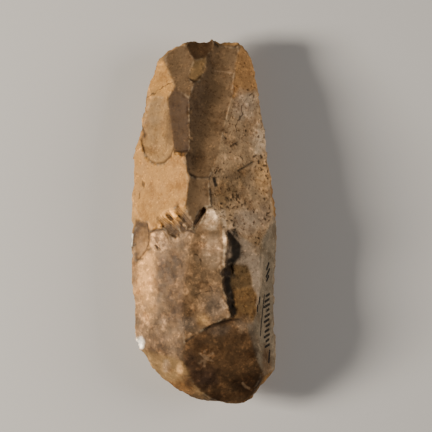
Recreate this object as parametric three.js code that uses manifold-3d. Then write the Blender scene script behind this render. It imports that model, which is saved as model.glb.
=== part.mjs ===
// Flaked flint hand axe, lying on its flatter face.
// Millimetres, +Z up, +Y towards the narrow working end. The origin is under the middle of the piece,
// on the surface that it lies on.
//
// The stone is made the way a knapper makes it: a rounded nodule, then one flake after another taken off it.
// Each flake leaves a shallow hollow, and the ridges are where two hollows meet.
import * as THREE from "three";
import { mergeVertices } from "three/addons/utils/BufferGeometryUtils.js";
import Module from "manifold-3d";

// ---- Driving dimensions ----
const LENGTH = 150;
const EDGE_Z = 14; // height of the cutting edge that runs round the stone
const CREST_Z = 36.8; // top of the nodule, before flaking
const BELLY_Z = -1.3; // bottom of the nodule, before its resting face is struck off
const HALF = LENGTH / 2;

// Plan of the nodule: [y, left edge, right edge], as shares of half the length and as widths in millimetres.
const PLAN = [
  [1.0, -1, 6],
  [0.988, -6.5, 14.5],
  [0.957, -11.5, 16.8],
  [0.92, -16.6, 18.6],
  [0.88, -19.6, 20],
  [0.81, -21.4, 21.6],
  [0.72, -23.4, 22.7],
  [0.585, -25.4, 23.4],
  [0.48, -26.8, 25.9],
  [0.4, -28.7, 26.6],
  [0.333, -30.1, 27.9],
  [0.16, -29.7, 28.5],
  [0.0, -30, 30.3],
  [-0.16, -30.6, 29.7],
  [-0.4, -30.1, 28.9],
  [-0.56, -29.7, 29.5],
  [-0.655, -28.8, 30.4],
  [-0.72, -26.2, 30],
  [-0.815, -20.9, 29.3],
  [-0.88, -15.7, 25.2],
  [-0.94, -9.1, 21.4],
  [-0.976, -3, 19.6],
  [-1.0, 9, 17],
];

// Height of the nodule's crest along its length: shares of half the length, and of the height above the edge.
const CREST = [
  [1.0, 0],
  [0.96, 0.22],
  [0.8, 0.53],
  [0.533, 0.79],
  [0.267, 0.92],
  [0.067, 0.97],
  [-0.133, 1.0],
  [-0.48, 0.96],
  [-0.64, 0.87],
  [-0.8, 0.72],
  [-0.907, 0.53],
  [-0.973, 0.26],
  [-1.0, 0],
];

// How full the nodule's section is. 1 is a straight slope from edge to crest, and more is rounder.
const FULLNESS = { left: 1.5, right: 2.4, under: 1.7 };

// ---- Flake scars ----
// from and to are the ends of a scar's middle line, the struck end first. Flakes are struck off the worked
// face, on top, and off the resting face, below.
// width: the scar's width, and dish: how much its sides rise in half that width, negative for a bulging scar.
// belly: how deep it sags below a straight line from end to end, negative where it bulges.
// lean: rise for each millimetre to the left of the direction of the blow.
// step: slope of the broken step at the far end, left out where the scar feathers out.
// round: how tongue-shaped that end is.
// lead: how far the scar is carried on behind its struck end, LEAD where it is left out.
const WORKED_FACE = [
  // Left margin, from the narrow end to the middle
  { from: [-22.5, 60, 13.2], to: [-12, 61, 20.6], width: 18, dish: 0.8, belly: 0.3, lean: -0.25 },
  {
    from: [-17.5, 54, 19.1], to: [-18.8, 23.4, 21.5], width: 13.5,
    dish: 1, belly: 0.6, lean: 0.76, step: 1.6, round: 1,
  },
  {
    from: [-9, 57, 23.4], to: [-9, 28.3, 28.2], width: 11,
    dish: 0.5, belly: 0.4, lean: 0.6, step: 1.4, round: 0.6,
  },
  { from: [-30, 14, 13.6], to: [-7, 12, 33.2], width: 30, dish: 1.2, belly: 0.9 },
  { from: [-31.5, 34, 13.2], to: [-26.6, 29, 17.4], width: 13, dish: 0.5, step: 0.8, round: 0.5 },
  { from: [-31.5, 20, 13.2], to: [-27.4, 20, 17], width: 14, dish: 0.5, step: 0.8, round: 0.5 },
  {
    from: [-31.5, -4, 13.9], to: [-22.8, -2, 20.6], width: 22,
    dish: 0.9, belly: 0.4, step: 0.8, round: 0.4,
  },
  // Narrow end: four short flakes and the long flute
  { from: [-13.5, 72, 14], to: [-11, 56, 21.6], width: 10, dish: 0.5, belly: 0.3, lean: 0.1 },
  { from: [-2, 76, 12.8], to: [-2.5, 65, 20], width: 11, dish: 1.2, belly: 0.8 },
  { from: [0, 66, 18.8], to: [-7.5, 59.5, 21.8], width: 9, dish: 0.8, belly: 0.3, step: 1.5, round: 0.3 },
  { from: [9, 75, 14.2], to: [-2, 17.5, 32.5], width: 14, dish: 2.2, belly: 0.8, step: 1.5, round: 0.6 },
  { from: [9.5, 76.5, 11], to: [9.5, 70.5, 15.8], width: 8, dish: 0.6, step: 1, round: 0.3 },
  { from: [0.4, 28, 33.2], to: [-4.6, -2, 32.7], width: 9.6, dish: 1, belly: 0.3, step: 1.5, round: 0.3 },
  // Right margin
  { from: [21.5, 64, 13.5], to: [11, 61, 20.5], width: 24, dish: 0.8, belly: 0.3 },
  { from: [25, 42, 13.5], to: [8, 42, 26.5], width: 26, dish: 0.6, belly: 0.3, lean: 0.08 },
  { from: [29.5, 10, 15.5], to: [2.5, 12, 33.4], width: 30, dish: 1.3, belly: 0.2, lean: 0.18 },
  { from: [24.6, -19, 22.9], to: [17, -18, 27.4], width: 20, dish: 0.6 },
  { from: [26, -5, 20.3], to: [25, -66, 21.2], width: 10, dish: 0.3, belly: 1.7, lean: -1.5 },
  // The deep stepped hollow right of the middle
  { from: [22, -13, 25.6], to: [10.3, -10, 30.2], width: 17, dish: 1, belly: 0.2, step: 4, round: 0.2 },
  { from: [22, -25, 24.8], to: [8.2, -24.5, 29.8], width: 16, dish: 1, belly: 0.2, step: 4, round: 0.5 },
  { from: [22, -32, 24.4], to: [10.6, -33, 28.6], width: 14, dish: 1, belly: 0.2, step: 4, round: 0.4 },
  { from: [11, -20.6, 28], to: [7.4, -21.4, 30.6], width: 4, dish: 0.8, step: 4, round: 0.6, lead: 1 },
  // Wide end: the bulging left side, the broad hollow beside it, and the butt
  {
    from: [-14, -74, 20.6], to: [-12, -3.5, 28.2], width: 20,
    dish: -1.2, belly: -1.8, lean: -0.6, step: 1.2, round: 0.14,
  },
  {
    from: [-8, -66, 26.5], to: [2.8, 5.6, 33.4], width: 32,
    dish: 2.6, belly: 0.3, lean: -0.02, step: 2, round: 2.6,
  },
  {
    from: [18, -79, 10], to: [1.5, -43.5, 28.4], width: 44,
    dish: 0, belly: -4.2, lean: -0.05, step: 2, round: 0.35,
  },
  // Crushed steps where the two hollows above and below the middle meet
  { from: [-17.5, 0.5, 24.4], to: [-11, -4.6, 27.4], width: 4.4, dish: 1.3, lean: 0.45, step: 2, lead: 2 },
  { from: [-15, 3.4, 26.6], to: [-8.4, -3.4, 29.4], width: 4, dish: 1.2, lean: 0.5, step: 2, lead: 1 },
  { from: [-10.6, 5, 29.6], to: [-5, -1.8, 31.6], width: 3.6, dish: 1, lean: 0.5, step: 2, lead: 1 },
  { from: [-3.6, -2, 32], to: [0.4, 4.6, 30.4], width: 2.2, dish: 0.8, step: 4, round: 0.6, lead: 1 },
];

const RESTING_FACE = [
  { from: [-22, 62, 15], to: [-4, 54, 1.5], width: 24, dish: 1.4, belly: 1 },
  { from: [-27, 38, 15], to: [-8, 36, 1], width: 22, dish: 1.6, belly: 1.4 },
  { from: [-31, 16, 15], to: [-9, 12, 0], width: 22, dish: 1.4, belly: 1.6 },
  { from: [-31, -8, 15], to: [-10, -12, 0], width: 24, dish: 1.6, belly: 1.2 },
  { from: [-31, -34, 15], to: [-9, -32, 0.5], width: 24, dish: 1.4, belly: 1.6 },
  { from: [-23, -60, 15], to: [-3, -50, 0], width: 24, dish: 1.4, belly: 1 },
  { from: [2, 77, 15.2], to: [1, 46, 1.2], width: 22, dish: 1.6, belly: 0.6 },
  { from: [23, 54, 15], to: [8, 50, 2], width: 22, dish: 1.4, belly: 1 },
  { from: [27, 30, 15], to: [6, 34, 0], width: 24, dish: 1.6, belly: 1.2 },
  { from: [31, 4, 15], to: [10, 6, 0], width: 24, dish: 1.6, belly: 1.6 },
  { from: [30, -22, 13.4], to: [9, -18, 0], width: 24, dish: 1.4, belly: 1.2 },
  { from: [31, -50, 13.4], to: [10, -44, 0.5], width: 24, dish: 1.6, belly: 1.4 },
  { from: [10, -78, 15.5], to: [6, -54, 0.5], width: 24, dish: 1.2, belly: 0.4 },
  { from: [5, -78, 19], to: [5, -66, 9.4], width: 6, dish: 1.2, lead: 3 },
];

const LEAD = 16;
const LEAST_END = 2; // a scar's rounded end stays at least this far ahead of where its lead starts
const GRID = { 1: 3.4, [-1]: 5.2 }; // spacing of a scar's surface points on the worked and the resting face
const TURN = 0.062; // most that a scar's slope may change, halved, from one facet to the next across it
const FINEST = 0.8; // closest spacing across a scar
const PAST_STEP = [0.4, 1, 2, 5, 12]; // rows of points on a broken step, beyond the scar's end
const PAST_FEATHER = 5; // grid rows that carry a feathered scar on beyond its end
const CLEAR = 60; // height of the block that is taken off with each flake
const STEP_CURL = 0.6; // how gently a scar curls up into its step

// ---- Chips along the edge ----
// Struck on the resting face all round: how many, their radius, bite into the edge, and tilt in degrees.
const CHIP = { count: 42, radius: [5, 9], bite: [0.4, 0.9], tilt: [-10, -60] };
const SPREAD = { place: 0.618, radius: 0.7548, tilt: 0.5698, bite: 0.382, turn: 0.29 }; // mixes their sizes
const EDGE_STEP = 0.02; // share of half the length over which the edge's direction is taken
const TIP = 0.999; // share of half the length beyond which that direction isn't taken

// ---- Facets ----
const NODULE = { round: 44, along: 40 };
const CHIP_BALL = { round: 12, along: 8 };
const POLE = 0.9999; // share of half the length at which the nodule closes to a point
const MERGE = 1e-4; // millimetres

const wasm = await Module();
wasm.setup();

// A closed three.js geometry as a solid that can be cut.
function solid(geometry) {
  const bare = geometry.clone();
  bare.deleteAttribute("normal");
  bare.deleteAttribute("uv");
  const merged = mergeVertices(bare, MERGE);
  return new wasm.Manifold(
    new wasm.Mesh({
      numProp: 3,
      vertProperties: merged.attributes.position.array,
      triVerts: new Uint32Array(merged.index.array),
    }),
  );
}

// A solid's surface as a three.js geometry, with its middle over the origin in plan.
function geometryOf(stone) {
  const mesh = stone.getMesh();
  const geometry = new THREE.BufferGeometry();
  const places = new Float32Array(mesh.vertProperties);
  geometry.setAttribute("position", new THREE.BufferAttribute(places, 3));
  geometry.setIndex(new THREE.BufferAttribute(new Uint32Array(mesh.triVerts), 1));
  geometry.computeVertexNormals();
  geometry.computeBoundingBox();
  const middle = geometry.boundingBox.getCenter(new THREE.Vector3());
  return geometry.translate(-middle.x, -middle.y, 0);
}

// The value at x in a table of [key, value, ...] rows with falling keys, straight between rows.
function lookUp(table, x, column) {
  const last = table.length - 1;
  let i = 0;
  while (i < last - 1 && table[i + 1][0] > x) i++;
  const [above, below] = [table[i], table[i + 1]];
  const share = THREE.MathUtils.clamp((above[0] - x) / (above[0] - below[0]), 0, 1);
  return THREE.MathUtils.lerp(above[column], below[column], share);
}

// Moves each vertex of a geometry to where place(x, y, z) puts it.
function reshape(geometry, place) {
  const at = geometry.attributes.position;
  for (let i = 0; i < at.count; i++) at.setXYZ(i, ...place(at.getX(i), at.getY(i), at.getZ(i)));
  return geometry;
}

// The rounded nodule: a sphere with its poles at the two ends, drawn out to the plan and the crest.
function nodule() {
  const ball = new THREE.SphereGeometry(1, NODULE.round, NODULE.along);
  return reshape(ball, (bx, by, bz) => {
    const left = lookUp(PLAN, by, 1);
    const right = lookUp(PLAN, by, 2);
    const middle = (left + right) / 2;
    if (Math.abs(by) > POLE) return [middle, by * HALF, EDGE_Z];
    const across = bx / Math.hypot(bx, bz);
    const full = bz < 0 ? FULLNESS.under : across < 0 ? FULLNESS.left : FULLNESS.right;
    const reach = (bz < 0 ? BELLY_Z : CREST_Z) - EDGE_Z;
    const rise = lookUp(CREST, by, 1) * (1 - Math.abs(across) ** full);
    return [middle + ((right - left) / 2) * across, by * HALF, EDGE_Z + reach * rise];
  });
}

// The block that goes with one flake: its near side is the scar, and its far side is clear of the stone.
// side is 1 for the worked face and -1 for the resting face.
function flake({ from, to, width, dish, belly = 0, lean = 0, step = 0, round = 0, lead = LEAD }, side) {
  const run = Math.hypot(to[0] - from[0], to[1] - from[1]);
  const along = [(to[0] - from[0]) / run, (to[1] - from[1]) / run];
  const rows = Math.round((run + lead) / GRID[side]);
  const after = step ? PAST_STEP : Array.from({ length: PAST_FEATHER }, (_, n) => (n + 1) * GRID[side]);
  const bend = Math.abs(dish) / (width / 2) ** 2;
  const columns = 2 * Math.ceil(width / THREE.MathUtils.clamp(TURN / bend, FINEST, GRID[side]));
  const endAt = (q) => Math.max(run - ((round * width) / 4) * (q ** 2 + q ** 4), LEAST_END - lead);
  const block = new THREE.BoxGeometry(1, 1, 1, rows + after.length, columns, 1);
  return reshape(block, (bx, by, bz) => {
    const row = Math.round((bx + 0.5) * (rows + after.length));
    const v = by * 2 * width;
    const q = (2 * v) / width;
    const end = endAt(q);
    const past = row > rows ? after[row - rows - 1] : 0;
    const s = row > rows ? end + past : -lead + (row / rows) * (end + lead);
    const x = from[0] + along[0] * s - along[1] * v;
    const y = from[1] + along[1] * s + along[0] * v;
    if (bz * side > 0) return [x, y, side * CLEAR];
    const t = s / run;
    const hollow = dish * q ** 2 - 4 * belly * t * (1 - t) + (step * past ** 2) / (past + STEP_CURL);
    return [x, y, from[2] + (to[2] - from[2]) * t + lean * v + side * hollow];
  });
}

// The edge's line in plan, and the direction out of the stone there, at a share of the way round it.
function edgeAt(share) {
  const angle = share * 2 * Math.PI;
  const by = Math.cos(angle);
  const column = angle < Math.PI ? 2 : 1;
  const place = (b) => new THREE.Vector2(lookUp(PLAN, b, column), b * HALF);
  const [before, beyond] = [Math.min(by + EDGE_STEP, TIP), Math.max(by - EDGE_STEP, -TIP)];
  const slant = place(before).sub(place(beyond));
  const out = new THREE.Vector2(slant.y, -slant.x).normalize();
  if (column === 1) out.negate();
  return { at: place(by), out };
}

// One small chip off the edge, struck on the resting face.
function chip(n) {
  const golden = (k) => (n * k) % 1;
  const pick = ([low, high], k) => THREE.MathUtils.lerp(low, high, golden(k));
  const { at, out } = edgeAt((n + golden(SPREAD.place)) / CHIP.count);
  const radius = pick(CHIP.radius, SPREAD.radius);
  const tilt = THREE.MathUtils.degToRad(pick(CHIP.tilt, SPREAD.tilt));
  const reach = radius - pick(CHIP.bite, SPREAD.bite);
  const ball = new THREE.SphereGeometry(radius, CHIP_BALL.round, CHIP_BALL.along);
  ball.rotateZ(golden(SPREAD.turn) * Math.PI);
  return ball.translate(
    at.x + out.x * Math.cos(tilt) * reach,
    at.y + out.y * Math.cos(tilt) * reach,
    EDGE_Z + Math.sin(tilt) * reach,
  );
}

// The flat face that the stone lies on.
function groundBelow() {
  return new THREE.BoxGeometry(4 * HALF, 4 * HALF, 2 * CLEAR).translate(0, 0, -CLEAR);
}

function knap() {
  let stone = solid(nodule());
  for (const scar of WORKED_FACE) stone = stone.subtract(solid(flake(scar, 1)));
  for (const scar of RESTING_FACE) stone = stone.subtract(solid(flake(scar, -1)));
  for (let n = 0; n < CHIP.count; n++) stone = stone.subtract(solid(chip(n)));
  return stone.subtract(solid(groundBelow()));
}

const flint = new THREE.MeshStandardMaterial({ color: 0x8f7350, roughness: 0.5, metalness: 0 });
const axe = new THREE.Mesh(geometryOf(knap()), flint);
axe.name = "hand_axe";

const group = new THREE.Group();
group.add(axe);
export default group;
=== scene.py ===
import math

import bmesh
import bpy
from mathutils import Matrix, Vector, kdtree, noise


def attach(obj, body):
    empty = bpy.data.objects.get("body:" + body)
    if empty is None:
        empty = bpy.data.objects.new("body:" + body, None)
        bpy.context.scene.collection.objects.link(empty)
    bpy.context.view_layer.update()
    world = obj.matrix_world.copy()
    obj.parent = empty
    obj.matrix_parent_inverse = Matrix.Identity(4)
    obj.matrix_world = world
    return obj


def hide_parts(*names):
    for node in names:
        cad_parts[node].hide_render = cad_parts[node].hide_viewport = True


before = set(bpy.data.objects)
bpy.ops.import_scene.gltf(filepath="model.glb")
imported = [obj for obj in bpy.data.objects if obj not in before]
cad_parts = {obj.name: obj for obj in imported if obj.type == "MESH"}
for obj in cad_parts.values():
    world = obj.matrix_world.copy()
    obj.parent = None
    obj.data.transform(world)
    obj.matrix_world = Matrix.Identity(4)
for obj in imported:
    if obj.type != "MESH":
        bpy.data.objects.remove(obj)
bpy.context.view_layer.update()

# ---- The axe: the struck flint ----
# A single long piece of flint, shaped by striking flakes off a nodule. Each flake left a shallow hollow,
# and the hollows meet in ridges. The frame gives the hollows and ridges, and here they get the finer
# relief of broken flint: smooth hollows, crisp ridges, ripples, crushed steps, pits and a nicked edge.
MM = 0.001
axe = bpy.data.objects.new("flint_axe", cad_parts["hand_axe"].data.copy())
bpy.context.collection.objects.link(axe)

SKIN = 0.42 * MM  # size of the faces of the fine surface
RIDGE_ANGLE = math.radians(9)  # hollows that meet at more than this keep a crisp ridge
RIM_ANGLE = math.radians(55)  # and at more than this it is the axe's edge
SLIVER = 0.0005 * MM * MM  # faces smaller than this have no useful slope
RIDGE_STEP = 0.15 * MM

rough = bmesh.new()
rough.from_mesh(axe.data)
bmesh.ops.remove_doubles(rough, verts=rough.verts, dist=1e-7)
rough.to_mesh(axe.data)

# Places in plan where low ridges are rubbed away: left, bottom, right and top.
WORN = [
    (-16.5, 28, -11.5, 50),
    (-11, -46, -1, -5),
    (-27, -76, -4, -50),
    (4, 19, 28, 31),
    (12, 49, 24, 57),
    (12.5, -62, 22.5, -38),
]
WORN_ABOVE = 14.8  # lower down, the edge of the axe stays sharp


def is_worn(point):
    x, y, z = point / MM
    return z > WORN_ABOVE and any(left < x < right and low < y < top for left, low, right, top in WORN)


# Closely set points along every line where two hollows meet.
lines = {"ridge": [], "valley": [], "rim": [], "worn": []}
for edge in rough.edges:
    if min(face.calc_area() for face in edge.link_faces) < SLIVER:
        continue
    angle = edge.calc_face_angle()
    if angle > RIDGE_ANGLE:
        kind = "valley" if not edge.is_convex else "rim" if angle > RIM_ANGLE else "ridge"
        kind = "worn" if is_worn(edge.verts[0].co) else kind
        a, b = (vert.co for vert in edge.verts)
        steps = max(1, math.ceil((b - a).length / RIDGE_STEP))
        lines[kind] += [a.lerp(b, n / steps) for n in range(steps + 1)]
rough.free()


# A finder of the nearest point on lines of the given kinds.
def near_line(*kinds):
    points = [point for kind in kinds for point in lines[kind]]
    tree = kdtree.KDTree(len(points))
    for index, point in enumerate(points):
        tree.insert(point, index)
    tree.balance()
    return tree


any_line = near_line("ridge", "valley", "rim")
bound_line = near_line("ridge", "valley", "rim", "worn")
ridge_line = near_line("ridge", "rim")
valley_line = near_line("valley")
rim_line = near_line("rim")

# The fine surface: even faces, drawn onto the ridges, and smoothed most out in the open hollows.
ON_LINE = 0.72 * SKIN
SNAP = 0.5 * SKIN
BESIDE_LINE = 2.5 * SKIN
PULL = 0.8  # share of the way that a point close to a line is moved onto it
finer = axe.modifiers.new("finer", "REMESH")
finer.mode = "VOXEL"
finer.voxel_size = SKIN
fine_mesh = bpy.data.meshes.new_from_object(axe.evaluated_get(bpy.context.evaluated_depsgraph_get()))
axe.modifiers.clear()
axe.data = fine_mesh

skin = bmesh.new()
skin.from_mesh(fine_mesh)
skin.verts.ensure_lookup_table()
bound, near, open_face = set(), [], []
for vert in skin.verts:
    if bound_line.find(vert.co)[2] < ON_LINE:
        bound.add(vert.index)
    point, _, gap = any_line.find(vert.co)
    if gap < SNAP:
        vert.co = vert.co.lerp(point, PULL)
    elif gap < ON_LINE:
        continue
    elif gap < BESIDE_LINE:
        near.append(vert)
    else:
        open_face.append(vert)


def rub(verts, passes):
    for _ in range(passes):
        bmesh.ops.smooth_vert(
            skin, verts=verts, factor=0.5, use_axis_x=True, use_axis_y=True, use_axis_z=True
        )


rub(near, 3)
rub(open_face + near, 12)
rub(open_face, 24)
rub(near + open_face, 2)

# Tones from the palest to the darkest: most are tones that flint takes on as it lies in the ground, but the
# palest is a painted highlight, and the darkest also paints shadow.
TONES = {
    "highlight_white": (0.85, 0.8, 0.7),
    "bone": (0.75, 0.55, 0.35),
    "honey": (0.65, 0.38, 0.16),
    "putty": (0.48, 0.35, 0.23),
    "amber": (0.48, 0.25, 0.09),
    "buff": (0.42, 0.27, 0.14),
    "tan": (0.4, 0.2, 0.055),
    "sand": (0.33, 0.22, 0.13),
    "ochre": (0.31, 0.17, 0.06),
    "drab": (0.22, 0.17, 0.11),
    "toffee": (0.2, 0.12, 0.05),
    "moss": (0.14, 0.085, 0.043),
    "ash": (0.09, 0.065, 0.045),
    "rust": (0.11, 0.045, 0.01),
    "umber": (0.07, 0.038, 0.017),
    "bistre": (0.04, 0.022, 0.014),
    "pitch": (0.022, 0.01, 0.004),
    "soot": (0.01, 0.008, 0.005),
}

# Each hollow is found from a place inside it, and runs out to the ridges round it.
# Place in plan; tone of its patina, which in some hollows also holds painted shade; long swells, grain and
# pits, as depths; mottling; grit.
HOLLOWS = {
    "tip_left": ((-19, 62), "tan", (0.05, 0.02, 0), 0.1, 0.6),
    "side_left": ((-19, 40), "ochre", (0.06, 0.02, 0), 0.1, 0.6),
    # its dark tone is partly patina and partly painted shade, as this hollow faces away from the light
    "side_middle": ((-9, 40), "umber", (0.06, 0.02, 0), 0.1, 0.6),
    "tip_brown": ((-12, 63), "moss", (0.05, 0.02, 0), 0.2, 0.6),
    # its dark tone is partly patina and partly painted shade, as this hollow faces the tip, away from the
    # light
    "tip_dark": ((-3, 70), "umber", (0.05, 0.02, 0), 0.2, 0.6),
    "tip_step": ((-3, 61), "toffee", (0.08, 0.03, 0), 0.2, 0.6),
    # its dark tone is partly patina and partly painted shade, as the flute lies nearly edge-on to the light
    "flute": ((3, 50), "moss", (0.05, 0.02, 0), 0.25, 0.7),
    "waist": ((-2, 10), "moss", (0.06, 0.02, 0), 0.1, 0.5),
    "bright": ((-15, 15), "tan", (0.08, 0.03, 0), 0.1, 0.5),
    "edge_left": ((-28, 31), "tan", (0.08, 0.03, 0), 0.1, 0.6),
    "olive": ((-26, -4), "umber", (0.08, 0.03, 0), 0.1, 0.5),
    "right_top": ((17, 62), "amber", (0.12, 0.05, 0.2), 0.4, 0.9),
    "right_side": ((18, 40), "buff", (0.16, 0.07, 0.3), 0.6, 1),
    "shoulder": ((21.7, -22), "putty", (0.1, 0.04, 0), 0.4, 0.8),
    "ink_side": ((27, -35), "drab", (0.05, 0.02, 0), 0.3, 0.6),
    # painted shadow: the top of the stepped hollow lies in the shadow of the ridge beside it, and is given a
    # near-black tone for it
    "pit_top": ((13, -11), "soot", (0.2, 0.1, 0.15), 0.3, 0.8),
    "pit_middle": ((14, -24), "toffee", (0.2, 0.1, 0.15), 0.4, 0.8),
    "pit_low": ((14, -34), "ochre", (0.2, 0.1, 0.1), 0.4, 0.8),
    "belly": ((2, -20), "moss", (0.14, 0.03, 0), 1.0, 0.3),
    "butt": ((8, -55), "umber", (0.2, 0.05, 0.05), 0.9, 0.5),
    "butt_left": ((-14, -65), "toffee", (0.14, 0.03, 0), 0.5, 0.4),
}
RESTING = ((0, 0), "ochre", (0.14, 0.04, 0.05), 0.5, 0.5)  # the face that it lies on
# Low rises that part two patinas without a crisp ridge, as ends in plan.
SOFT_BOUNDS = [
    ((12.8, 61), (11.6, 51)),
    ((9.8, 45), (7.4, 33)),
    ((3.8, 21), (2.6, 15)),
    ((2.4, 16), (2.7, 6.2)),
    ((-5.5, 18.2), (2.5, 17.2)),
    ((20.3, -8.6), (20.5, -17.5)),
]
SOFT_ABOVE = 15  # these rises are all on the worked face
SOFT_HALF = 0.4
WORKED_ABOVE = 13  # the worked face is above this height
OVERHANG = -0.1  # and faces up, or no further down than this
# A hollow starts at the highest point that is beside its place in plan and within reach of a height over it.
OVER, REACH, BESIDE = 24, 13, 0.8


def to_segment(x, y, ends):
    (ax, ay), (bx, by) = ends
    span = (bx - ax) ** 2 + (by - ay) ** 2
    share = max(0, min(1, ((x - ax) * (bx - ax) + (y - ay) * (by - ay)) / span))
    return math.hypot(x - ax - share * (bx - ax), y - ay - share * (by - ay))


def to_path(x, y, points):
    return min(to_segment(x, y, ends) for ends in zip(points, points[1:]))


places = kdtree.KDTree(len(skin.verts))
for vert in skin.verts:
    places.insert(vert.co, vert.index)
places.balance()
stops = set(bound)
for vert in skin.verts:
    x, y, z = vert.co / MM
    if z > SOFT_ABOVE and min(to_segment(x, y, ends) for ends in SOFT_BOUNDS) < SOFT_HALF:
        stops.add(vert.index)
hollow_of = [""] * len(skin.verts)
for name, (place, *_) in HOLLOWS.items():
    below = [index for _, index, _ in places.find_range(Vector((*place, OVER)) * MM, REACH * MM)]
    below = [index for index in below if index not in stops]
    below = [index for index in below if (skin.verts[index].co.xy / MM - Vector(place)).length < BESIDE]
    start = max(below, key=lambda index: skin.verts[index].co.z)
    hollow_of[start] = name
    to_do = [start]
    while to_do:
        vert = skin.verts[to_do.pop()]
        for edge in vert.link_edges:
            other = edge.other_vert(vert)
            if not hollow_of[other.index] and other.index not in stops and other.normal.z > OVERHANG:
                hollow_of[other.index] = name
                to_do.append(other.index)

# The finer relief is laid on along each point's own direction. Its sizes are in millimetres.
# Ripples that spread from where the flake was struck: place, length and height of a wave.
RIPPLES = {
    "flute": ((9.5, 86), 5.2, 0.05),
    "side_left": ((-20, 66), 5.5, 0.06),
    "bright": ((-44, 16), 5, 0.07),
    "belly": ((-14, -90), 9, 0.04),
    "waist": ((2, 40), 4, 0.04),
    "butt": ((18, -84), 6, 0.09),
}
# Crushed places, where short steps broke into splinters: place, reach and depth.
CRUSHED = [((-12, -1.5), 7, 0.5), ((-18, -8), 4.5, 0.3), ((8.6, -20), 3.2, 0.35), ((10, -33), 3.5, 0.25)]
# Hairline cracks, as bends in plan.
CRACKS = [
    [(-5, -13.5), (-2, -13.5), (-0.8, -17), (0.4, -20), (2, -25), (3.5, -28)],
    [(-3.5, -29.5), (-0.5, -28.6), (3, -28)],
    [(17.6, 50), (15.2, 46.4), (16, 43.2), (13.6, 40.4), (13, 36)],
    [(16.8, 34.6), (14.6, 32.4), (11.8, 31)],
    [(-27, 9), (-24.4, 14), (-25, 19)],
    [(13, 27.4), (15.6, 25.4), (16.8, 22.6)],
    [(-12.8, 56.6), (-17, 54.6), (-20, 52.6), (-23, 50.8)],
]
# Old marks in black ink along the right side: strokes in plan, and half their width.
INK = [
    ([(26.6, -17.2), (25.8, -19.6)], 0.55),
    ([(26.9, -19.6), (25.6, -22.6)], 0.5),
    ([(26.6, -22.4), (25.8, -24.2)], 0.5),
    ([(22.9, -31), (22.6, -33.4)], 0.45),
    ([(22.1, -34.2), (21.9, -36.5)], 0.45),
    ([(24.8, -30), (23.7, -40), (23.1, -46.5)], 0.32),
    ([(27, -53), (26.7, -57.4)], 0.6),
]
ROW_TOP, ROW_STEP, ROW_STROKES = -29.8, 2.05, 11
for count in range(ROW_STROKES):
    start_y = ROW_TOP - ROW_STEP * count
    long = 0.5 + 0.35 * (count % 3)
    INK.append(([(26.9 - 0.2 * (count % 2), start_y), (26 - long, start_y - 0.5 - 0.5 * long)], 0.5))
INK_STRETCH = 1.8  # the side is steep, so a stroke looks narrower from above than it is
INK_LEFT, INK_TOP = 20, -14  # all the ink is to the right of the one and below the other


def wave(spot, size, seed=0):
    return noise.noise(spot / size + Vector((seed * 17.3, seed * 5.1, seed * 9.7)))


def ease(value, low, high):
    share = max(0.0, min(1.0, (value - low) / (high - low)))
    return share * share * (3 - 2 * share)


# How far a point in plan is from the nearest ink, less than nothing inside a stroke.
def ink_gap(x, y):
    gaps = []
    for points, half in INK:
        stretched = [(px * INK_STRETCH, py) for px, py in points]
        gaps.append(to_path(x * INK_STRETCH, y, stretched) - half)
    return min(gaps)


def ripple(spot, name):
    (cx, cy), length, height = RIPPLES[name]
    away = math.hypot(spot.x - cx, spot.y - cy) + 1.5 * wave(spot, 9, 9)
    return height * math.sin(math.tau * away / length) * (0.6 + 0.8 * wave(spot, 12, 10))


# How far a splinter has broken away in each crushed place, from 0 to 1, with the depth of that place.
def splinters(spot):
    for (cx, cy), reach, depth in CRUSHED:
        share = ease(1 - math.hypot(spot.x - cx, spot.y - cy) / reach, 0, 0.4)
        if share > 0:
            bend = 0.5 * wave(spot, 3, 11)
            turned = Vector((spot.x * 0.78 + spot.y * 0.62 + bend, spot.y * 0.28 - spot.x * 0.2, 0))
            yield share * (noise.cell(turned / 1.3) * 0.7 + noise.cell(turned / 0.7) * 0.3), depth


RIDGE_REACH, RIDGE_WEAR, RIDGE_NICK = 1.2, 0.04, 0.3
RIM_REACH, RIM_NICK = 1.6, 0.7
CRACK_DEPTH, INK_DEPTH = 0.1, 0.06
FAR = 9  # stands for a distance where no mark is near

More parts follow.
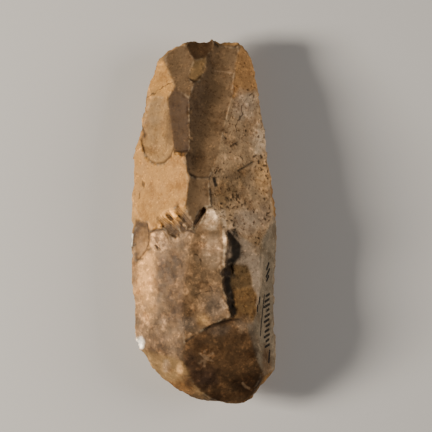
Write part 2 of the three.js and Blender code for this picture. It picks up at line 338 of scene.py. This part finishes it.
skin.normal_update()
pits, splinter_shading, ink, cracks, moves = [], [], [], [], []
for vert in skin.verts:
    spot = vert.co / MM
    name = hollow_of[vert.index]
    _, _, (swell, grain, pit), _, _ = HOLLOWS.get(name, RESTING)
    rise = swell * wave(spot, 7) + grain * (wave(spot, 2.2, 1) + 0.6 * wave(spot, 1.1, 2))
    if name in RIPPLES:
        rise += ripple(spot, name)
    hole = ease(wave(spot, 1.15, 3) + 0.6 * wave(spot, 8, 4), 0.36, 0.6)
    pits.append(hole * min(1, pit * 5))
    rise -= hole * pit
    shard = 0
    if spot.z > WORKED_ABOVE:
        for shard, depth in splinters(spot):
            rise -= depth * shard
    splinter_shading.append(shard)
    gap = ridge_line.find(vert.co)[2] / MM
    if gap < RIDGE_REACH:
        nick = ease(wave(spot, 1.9, 5), 0.12, 0.5)
        rise -= (1 - gap / RIDGE_REACH) * (RIDGE_WEAR + RIDGE_NICK * nick)
    gap = rim_line.find(vert.co)[2] / MM
    if gap < RIM_REACH:
        nick = ease(wave(spot, 2, 6) + 0.8 * wave(spot, 6, 15), 0.1, 0.9)
        rise -= (1 - gap / RIM_REACH) * RIM_NICK * nick
    crack = inking = FAR
    if spot.z > WORKED_ABOVE and vert.normal.z > OVERHANG:
        bent = (spot.x + 0.9 * wave(spot, 1.9, 12), spot.y + 0.9 * wave(spot, 1.9, 13))
        crack = min(to_path(*bent, path) for path in CRACKS) + 0.3 * abs(wave(spot, 2.5, 14))
        if spot.x > INK_LEFT and spot.y < INK_TOP:
            inking = ink_gap(spot.x, spot.y)
    cracks.append(crack)
    ink.append(inking)
    rise -= CRACK_DEPTH * ease(0.7 - crack, 0, 0.6) + INK_DEPTH * ease(0.4 - inking, 0, 0.4)
    moves.append(vert.normal * rise * MM)
for vert, move in zip(skin.verts, moves):
    vert.co += move
rub(list(skin.verts), 1)
for vert in skin.verts:
    vert.co.z = max(vert.co.z, 0)

# Patina: each hollow's own colour, carried out over the ridges, then stains and bleached places; painted
# shadows, highlights and splinter shading are laid into the same colours.
FILL_PASSES, BLEND_PASSES = 14, 5
NO_COLOUR = Vector((0, 0, 0))
resting_colour = Vector(TONES[RESTING[1]])
colours = [None] * len(skin.verts)
for vert in skin.verts:
    name = hollow_of[vert.index]
    if name:
        colours[vert.index] = Vector(TONES[HOLLOWS[name][1]])
    elif vert.co.z < WORKED_ABOVE * MM or vert.normal.z < OVERHANG:
        colours[vert.index] = resting_colour
for _ in range(FILL_PASSES):
    filled = {}
    for vert in skin.verts:
        if colours[vert.index] is None:
            known = [colours[edge.other_vert(vert).index] for edge in vert.link_edges]
            known = [colour for colour in known if colour is not None]
            if known:
                filled[vert.index] = sum(known, NO_COLOUR) / len(known)
    for index, colour in filled.items():
        colours[index] = colour
colours = [resting_colour if colour is None else colour for colour in colours]
for _ in range(BLEND_PASSES):
    blended = []
    for vert in skin.verts:
        around = sum((colours[edge.other_vert(vert).index] for edge in vert.link_edges), NO_COLOUR)
        blended.append((colours[vert.index] * 2 + around) / (2 + len(vert.link_edges)))
    colours = blended

# Each stain is a round place in plan: its middle, half-widths, tone and strength. One of them is a painted
# glint.
STAINS_AND_GLINT = [
    ((17, 47), (6, 7), "putty", 0.7),
    ((23, 33), (4, 8), "bone", 0.7),
    ((14, 18), (5, 6), "toffee", 0.6),
    ((8, 11), (5, 8), "toffee", 0.8),
    ((24, 18), (4, 9), "honey", 0.8),
    ((18, 0), (8, 6), "putty", 0.8),
    ((25, 2), (4, 6), "sand", 0.7),
    ((3, 1), (5, 5), "bone", 0.7),
    ((3, -12), (6, 8), "sand", 0.7),
    ((-24, -22), (6, 20), "amber", 0.8),
    ((-12, -22), (8, 10), "umber", 0.7),
    ((-10, -35), (8, 9), "umber", 0.7),
    ((-19, -50), (7, 7), "umber", 0.7),
    ((5, -34), (6, 8), "ash", 0.7),
    ((10, -46), (8, 5), "umber", 0.7),
    ((19, -50), (4, 8), "umber", 0.7),
    ((18, -66), (7, 6), "pitch", 0.85),
    ((0, -63), (8, 6), "bistre", 0.8),
    ((16, -41), (4, 4), "sand", 0.6),
    ((0, -72), (12, 3), "pitch", 0.7),
    ((-10, -68), (8, 4), "rust", 0.7),
    ((-2, 24), (4, 5), "umber", 0.6),
    ((-20, 43), (3.5, 12), "toffee", 0.7),
    ((-13.5, 38), (3, 10), "umber", 0.7),
    ((-8, -52), (5, 5), "umber", 0.7),
    ((-6, -64), (4, 4), "pitch", 0.6),
    ((-9.6, -60), (1.8, 3), "honey", 0.8),
    ((-15, -59), (2, 3), "sand", 0.7),
    # painted highlight: a small white glint on the glossy lower left
    ((-26.4, -50), (2.6, 2.8), "highlight_white", 0.95),
    ((-6, -42), (5, 4), "ash", 0.7),
    ((0, -40), (3, 3), "toffee", 0.8),
    ((22, -10), (3, 6), "toffee", 0.6),
    ((-5, -57), (4, 5), "bistre", 0.6),
    ((6, -44), (6, 3), "ash", 0.6),
    ((26, -58), (3, 8), "rust", 0.6),
]
# Streaks along bends in plan: points, half-width, tone and strength. Some are painted shadows and
# highlights.
STREAKS = [
    # painted shadow: a near-black band at the foot of the ridge, where its shadow falls in the stepped
    # hollow
    ([(11.4, -5.5), (13, -9.5), (13.2, -14)], 2.9, "soot", 0.95),
    ([(11, -16), (9.8, -19), (9.4, -25), (10.4, -29), (11.2, -33), (11.8, -37)], 2, "soot", 0.95),
    # painted highlights: pale lines along the lit ridges and the lit strip beside the stepped hollow
    ([(8, 4), (8.6, -3), (8.8, -10), (8.4, -17)], 1.1, "bone", 0.5),
    ([(10, -3), (14, -7.5), (19.5, -13)], 0.6, "putty", 0.6),
    ([(24, -14), (23.2, -24), (21.6, -34)], 0.7, "putty", 0.5),
    ([(-1.5, -53.5), (1, -55.5), (3.8, -56.6)], 0.6, "sand", 0.3),
    ([(0.4, -52.6), (1, -55.5), (0.2, -58.8)], 0.6, "sand", 0.3),
    ([(3.6, -53.4), (1, -55.5), (-2, -57.6)], 0.6, "sand", 0.3),
    ([(4.6, 61.3), (8, 61.1), (12, 60.4)], 0.4, "sand", 0.3),
    ([(4.3, 17), (4.9, 14.6)], 0.9, "soot", 0.9),
    ([(2.7, 12.5), (3.2, 7)], 0.6, "soot", 0.7),
    ([(14, 20.5), (17, 22.3), (20, 24.2)], 0.5, "soot", 0.7),
    # painted highlight: a thin white line along the left edge
    ([(-29.3, -5.5), (-29.7, -10)], 0.6, "highlight_white", 0.9),
    ([(16, -66), (17.2, -67.6), (18.6, -68.2)], 0.7, "sand", 0.35),
]
OVERLAID_ABOVE, OVERLAID_FACING = 12, -0.2
OUTSIDE = 1.4  # share of a stain's half-width, past which it has no effect


# Lays a tone over a colour: for stains, and for the painted shadows and highlights.
def overlaid(colour, tone, share):
    return colour.lerp(Vector(TONES[tone]), share)


for vert in skin.verts:
    spot = vert.co / MM
    if spot.z < OVERLAID_ABOVE or vert.normal.z < OVERLAID_FACING:
        continue
    drift = 0.28 * wave(spot, 3.5, 7) + 0.16 * wave(spot, 1.3, 8)
    colour = colours[vert.index]
    for (cx, cy), (rx, ry), tone, strength in STAINS_AND_GLINT:
        away = math.hypot((spot.x - cx) / rx, (spot.y - cy) / ry)
        if away < OUTSIDE:
            colour = overlaid(colour, tone, strength * ease(1.2 - away + drift, 0, 0.9))
    for points, half, tone, strength in STREAKS:
        away = to_path(spot.x, spot.y, points) / half
        if away < OUTSIDE:
            colour = overlaid(colour, tone, strength * ease(1.15 - away + drift, 0, 0.8))
    # painted light and shade on the crushed splinters: lighter where little has broken away, darker where
    # more has
    if splinter_shading[vert.index]:
        colour = colour * max(0.15, 1.45 - 1.6 * splinter_shading[vert.index])
    colours[vert.index] = colour

skin.to_mesh(fine_mesh)


def close_to(line, vert, reach):
    return ease(1 - line.find(vert.co)[2] / (reach * MM), 0, 1)


# ridges and rims rubbed pale, which is partly wear and partly a painted highlight along them
worn_and_lit_edges = [0.5 * close_to(ridge_line, vert, 0.8) + 0.5 * close_to(rim_line, vert, 0.9) for vert in skin.verts]
# darker towards the creases: dirt and painted shade
creases = [close_to(valley_line, vert, 0.9) for vert in skin.verts]
mottles, grits = zip(*(HOLLOWS.get(name, RESTING)[3:] for name in hollow_of))
# What the material reads at each point: ink and cracks as distances in millimetres, the rest as shares.
ATTRIBUTES = {
    "patina_and_painted_light": colours,
    "marks": zip(ink, cracks, pits),
    "wear_light_shade_mottle": zip(worn_and_lit_edges, creases, mottles),
    "feel": zip(grits, grits, grits),
}
for name, values in ATTRIBUTES.items():
    held = fine_mesh.attributes.new(name, "FLOAT_VECTOR", "POINT")
    held.data.foreach_set("vector", [part for value in values for part in value])

# The side that it lies on is plainer, and needs fewer faces.
UNDER_FACING = -0.15
UNDER_SHARE = 0.66  # share of all the faces that stays
under = axe.vertex_groups.new(name="under")
low = [vert for vert in skin.verts if vert.normal.z < UNDER_FACING and vert.co.z < WORKED_ABOVE * MM]
under.add([vert.index for vert in low], 1, "REPLACE")
skin.free()
for polygon in fine_mesh.polygons:
    polygon.use_smooth = True
thinner = axe.modifiers.new("thinner", "DECIMATE")
thinner.ratio = UNDER_SHARE
thinner.vertex_group = "under"
axe.data = bpy.data.meshes.new_from_object(axe.evaluated_get(bpy.context.evaluated_depsgraph_get()))
axe.modifiers.clear()

# The flint itself: the patina with its painted light and shade, clouded and flecked, with dirt and painted
# shade in its creases and pits, and dirt in its cracks.
flint = bpy.data.materials.new("flint")
flint.use_nodes = True
nodes, links = flint.node_tree.nodes, flint.node_tree.links
shader = nodes["Principled BSDF"]


def node(kind, **settings):
    made = nodes.new(kind)
    for name, value in settings.items():
        setattr(made, name, value)
    return made


def attribute(name):
    return node("ShaderNodeAttribute", attribute_name=name).outputs["Vector"]


def parts_of(source):
    made = node("ShaderNodeSeparateXYZ")
    links.new(source, made.inputs[0])
    return made.outputs


stone = node("ShaderNodeTexCoord").outputs["Object"]


def speckle(size, detail=4.0, roughness=0.6, seed=0.0):
    made = node("ShaderNodeTexNoise", noise_dimensions="4D")
    made.inputs["Scale"].default_value = 1 / (size * MM)
    made.inputs["Detail"].default_value = detail
    made.inputs["Roughness"].default_value = roughness
    made.inputs["W"].default_value = seed
    links.new(stone, made.inputs["Vector"])
    return made.outputs["Fac"]


def graded(source, low, high, out_low=0.0, out_high=1.0):
    made = node("ShaderNodeMapRange", interpolation_type="SMOOTHSTEP")
    links.new(source, made.inputs["Value"])
    for name, value in (("From Min", low), ("From Max", high), ("To Min", out_low), ("To Max", out_high)):
        made.inputs[name].default_value = value
    return made.outputs["Result"]


def combined(operation, a, b):
    made = node("ShaderNodeMath", operation=operation)
    for slot, item in zip(made.inputs, (a, b)):
        if isinstance(item, (int, float)):
            slot.default_value = item
        else:
            links.new(item, slot)
    return made.outputs[0]


def tinted(colour, other, share, blend="MIX"):
    made = node("ShaderNodeMix", data_type="RGBA", blend_type=blend)
    factor, first, second = made.inputs[0], made.inputs[6], made.inputs[7]
    links.new(share, factor)
    links.new(colour, first)
    second.default_value = (*other, 1)
    return made.outputs[2]


def times(a, b):
    return combined("MULTIPLY", a, b)


ink_off, crack_off, pit_mark = parts_of(attribute("marks"))
worn_and_lit_edge, crease, mottle = parts_of(attribute("wear_light_shade_mottle"))
grit = parts_of(attribute("feel"))[0]
DIRT_AND_SHADE = (0.03, 0.016, 0.008)
INK_BLACK = (0.012, 0.01, 0.009)
RUBBED_AND_LIT = (0.78, 0.6, 0.38)

colour = attribute("patina_and_painted_light")
# Cloudy darker places, curdled pale flecks and darker smears, dark grains, pale clouds and pale grains.
colour = tinted(colour, (0.5, 0.42, 0.34), graded(speckle(6, 5, 0.65, 1), 0.46, 0.7, 0, 0.8), "MULTIPLY")
flecks = times(graded(speckle(2.4, 4, 0.6, 2), 0.5, 0.7), times(mottle, 0.9))
colour = tinted(colour, (2.4, 2.3, 2.2), flecks, "MULTIPLY")
smears = times(graded(speckle(3.2, 5, 0.7, 7), 0.48, 0.68), times(mottle, 0.7))
colour = tinted(colour, (0.42, 0.37, 0.31), smears, "MULTIPLY")
grains = times(graded(speckle(1.1, 5, 0.75, 3), 0.5, 0.68), grit)
colour = tinted(colour, (0.3, 0.22, 0.15), grains, "MULTIPLY")
clouds = times(graded(speckle(5, 3, 0.55, 11), 0.4, 0.62), times(mottle, 0.6))
colour = tinted(colour, (2.2, 2.1, 2.0), clouds, "MULTIPLY")
colour = tinted(colour, (2.2, 2.1, 1.9), graded(speckle(0.9, 4, 0.7, 4), 0.55, 0.7, 0, 0.7), "MULTIPLY")
# Dirt and painted shade in the creases and pits, and dirt in the cracks, then ridges rubbed pale with a
# painted highlight, then the ink, which has partly worn off.
colour = tinted(colour, DIRT_AND_SHADE, times(crease, 0.75))
colour = tinted(colour, DIRT_AND_SHADE, times(pit_mark, 0.8))
colour = tinted(colour, DIRT_AND_SHADE, graded(crack_off, 0.12, 0.4, 0.7, 0))
colour = tinted(colour, RUBBED_AND_LIT, times(graded(speckle(2.5, 3, 0.6, 8), 0.42, 0.62), times(worn_and_lit_edge, 0.25)))
inked = times(graded(ink_off, -0.04, 0.1, 1, 0), graded(speckle(0.7, 3, 0.6, 9), 0.3, 0.42, 0.2, 0.95))
colour = tinted(colour, INK_BLACK, inked)
links.new(colour, shader.inputs["Base Color"])

sheen = graded(speckle(3, 4, 0.6, 5), 0.35, 0.65, 0.48, 0.62)
links.new(combined("ADD", sheen, times(grit, 0.12)), shader.inputs["Roughness"])
shader.inputs["IOR"].default_value = 1.54
shader.inputs["Specular IOR Level"].default_value = 0.1  # the weathered skin has lost most of its shine
bumps = node("ShaderNodeBump")
bumps.inputs["Strength"].default_value = 0.4
bumps.inputs["Distance"].default_value = 0.12 * MM
links.new(speckle(0.8, 5, 0.65, 6), bumps.inputs["Height"])
links.new(bumps.outputs["Normal"], shader.inputs["Normal"])
axe.data.materials.clear()
axe.data.materials.append(flint)
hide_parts("hand_axe")
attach(axe, "root")

# ---- The surroundings ----
# A plain pale sheet under the axe. A soft lamp low on its left side shows up the ridges, a weaker one on
# the right opens the shadows, and the camera looks straight down from far off.
FLOOR_HALF = 2
floor_mesh = bpy.data.meshes.new("floor")
sheet = bmesh.new()
bmesh.ops.create_grid(sheet, x_segments=1, y_segments=1, size=FLOOR_HALF)
sheet.to_mesh(floor_mesh)
sheet.free()
floor = bpy.data.objects.new("floor", floor_mesh)
bpy.context.collection.objects.link(floor)
pale = bpy.data.materials.new("pale_floor")
pale.use_nodes = True
matt = pale.node_tree.nodes["Principled BSDF"]
matt.inputs["Base Color"].default_value = (0.62, 0.6, 0.57, 1)
matt.inputs["Roughness"].default_value = 0.9
floor_mesh.materials.append(pale)

studio = bpy.data.worlds.new("studio")
studio.use_nodes = True
walls = studio.node_tree.nodes["Background"]
walls.inputs["Color"].default_value = (0.9, 0.92, 1, 1)
walls.inputs["Strength"].default_value = 0.06
bpy.context.scene.world = studio

LAMP_DISTANCE = 1.0


def soft_light(name, azimuth, elevation, size, power, colour):
    light = bpy.data.lights.new(name, "AREA")
    light.size = size
    light.energy = power
    light.color = colour
    lamp = bpy.data.objects.new(name, light)
    bpy.context.collection.objects.link(lamp)
    turn, rise = math.radians(azimuth), math.radians(elevation)
    away = Vector((math.cos(turn) * math.cos(rise), math.sin(turn) * math.cos(rise), math.sin(rise)))
    lamp.location = away * LAMP_DISTANCE
    lamp.rotation_euler = away.to_track_quat("Z", "Y").to_euler()


soft_light("key", 182, 26, 0.25, 20, (1, 0.93, 0.83))
soft_light("fill", 5, 30, 0.5, 5, (1, 0.95, 0.9))

lens = bpy.data.cameras.new("camera")
lens.lens = 200
camera = bpy.data.objects.new("camera", lens)
camera.location = (5.08 * MM, 2.14 * MM, 0.998)
bpy.context.collection.objects.link(camera)
bpy.context.scene.camera = camera
